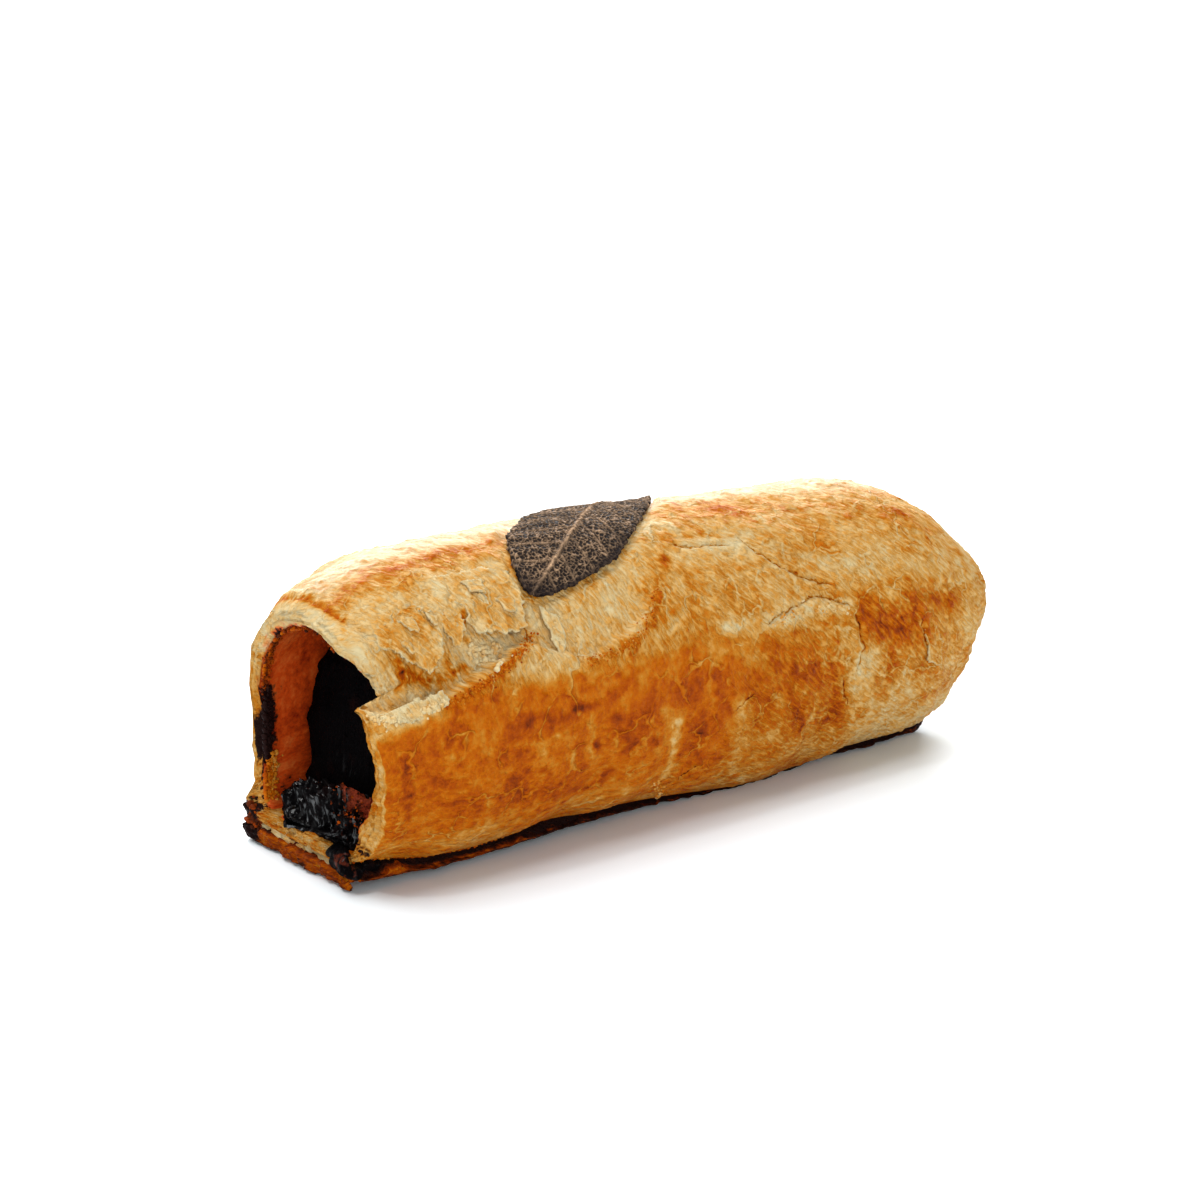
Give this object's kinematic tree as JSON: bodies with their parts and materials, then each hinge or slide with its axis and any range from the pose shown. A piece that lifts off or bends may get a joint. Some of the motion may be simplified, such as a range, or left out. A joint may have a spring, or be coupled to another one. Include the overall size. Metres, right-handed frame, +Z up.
{
  "type": "sausage roll",
  "caption": "Baked sausage roll: a flaky puff-pastry sleeve round a dark cooked filling, open at one end, with a roasted sage leaf laid across the top.",
  "frame": {"origin": "on the surface the roll rests on, under the middle of its bounding box", "axes": "+X along the roll from its open mouth to its rounded far end, -Y to the front with the torn crust, +Z up"},
  "size_m": [0.138, 0.0476, 0.0525],
  "materials": {
    "pastry": "matte, baked",
    "filling": "sticky, half gloss",
    "sage_leaf": "dry, matte"
  },
  "bodies": {
    "root": {"pastry": "pastry", "filling": "filling", "sage_leaf": "sage_leaf"}
  },
  "joints": []
}
